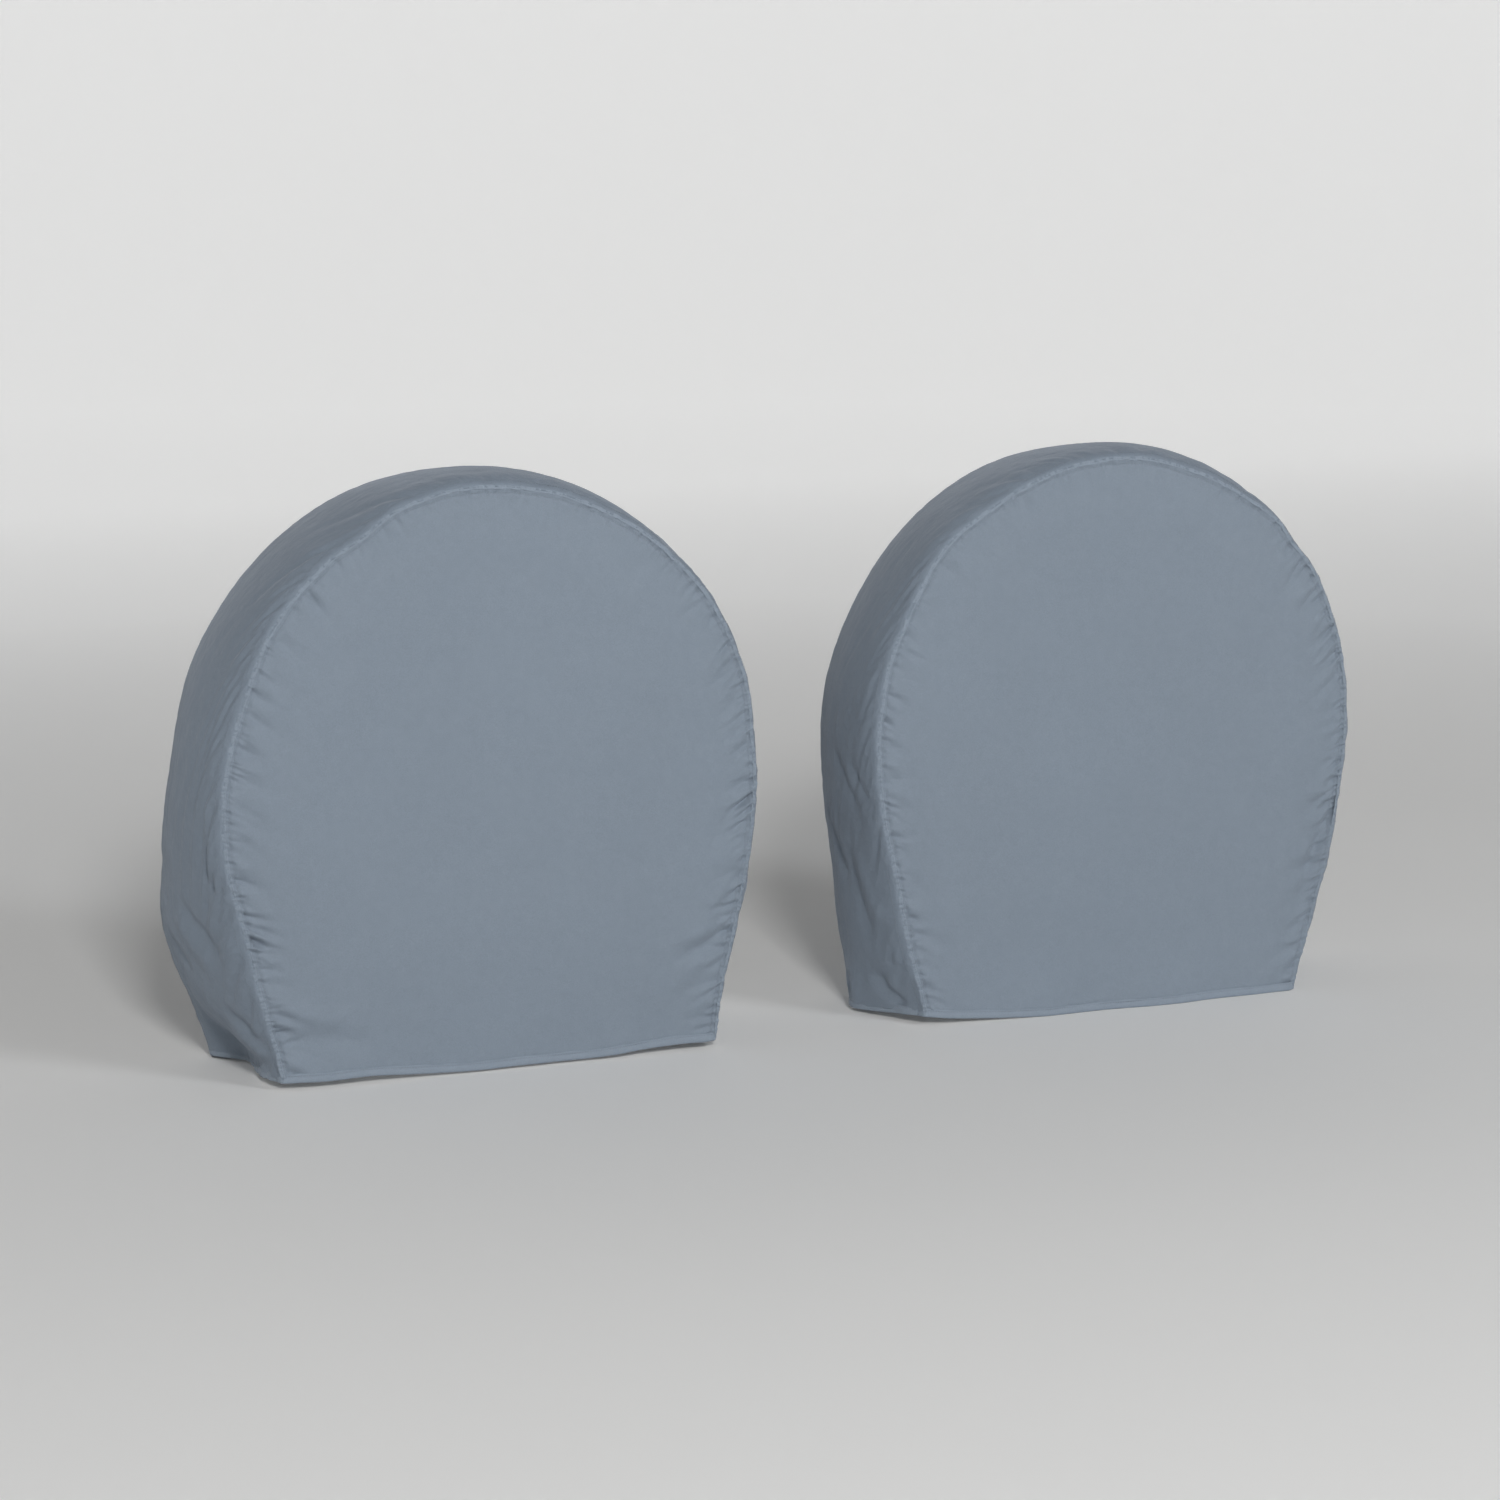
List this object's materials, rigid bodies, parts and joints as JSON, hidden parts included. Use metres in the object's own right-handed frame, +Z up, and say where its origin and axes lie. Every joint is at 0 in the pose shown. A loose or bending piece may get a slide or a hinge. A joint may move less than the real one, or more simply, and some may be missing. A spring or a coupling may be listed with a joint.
{
  "type": "wheel cover set",
  "caption": "Fabric wheel cover set for a tandem axle: D-shaped front panels, tread bands, turned bottom hems and elasticated rear flanges, open below and behind.",
  "frame": {"origin": "on the floor, midway between the two covers, at mid-depth of the set", "axes": "+X along the trailer's length, from the left cover to the right cover as seen from outside; +Y inwards along the wheel axles; +Z up; the front panels face -Y"},
  "size_m": [1.6152, 0.2092, 0.7446],
  "materials": {
    "panel_cloth": "matt blue-grey coated weave",
    "band_cloth": "matt blue-grey coated weave",
    "seam_cloth": "folded and topstitched weave",
    "thread": "polyester sewing thread",
    "elastic": "woven-sheathed shock cord"
  },
  "bodies": {
    "left_cover": {"left_front_panel": "panel_cloth", "left_tread_band": "band_cloth", "left_rear_flange": "band_cloth", "left_front_seam": "seam_cloth", "left_rear_seam": "seam_cloth", "left_front_hem": "seam_cloth", "left_outer_side_hem": "seam_cloth", "left_inner_side_hem": "seam_cloth", "left_outer_flange_hem": "seam_cloth", "left_inner_flange_hem": "seam_cloth", "left_elastic_casing": "seam_cloth", "left_elastic_cord": "elastic", "left_face_seam_thread": "thread", "left_band_seam_thread": "thread", "left_front_hem_thread": "thread"},
    "right_cover": {"right_front_panel": "panel_cloth", "right_tread_band": "band_cloth", "right_rear_flange": "band_cloth", "right_front_seam": "seam_cloth", "right_rear_seam": "seam_cloth", "right_front_hem": "seam_cloth", "right_outer_side_hem": "seam_cloth", "right_inner_side_hem": "seam_cloth", "right_outer_flange_hem": "seam_cloth", "right_inner_flange_hem": "seam_cloth", "right_elastic_casing": "seam_cloth", "right_elastic_cord": "elastic", "right_face_seam_thread": "thread", "right_band_seam_thread": "thread", "right_front_hem_thread": "thread"}
  },
  "joints": [
    {"name": "right_cover_pull_off", "type": "slide", "parent": "left_cover", "child": "right_cover", "axis": [0, -1, 0], "range_m": [0, 0.3]}
  ]
}
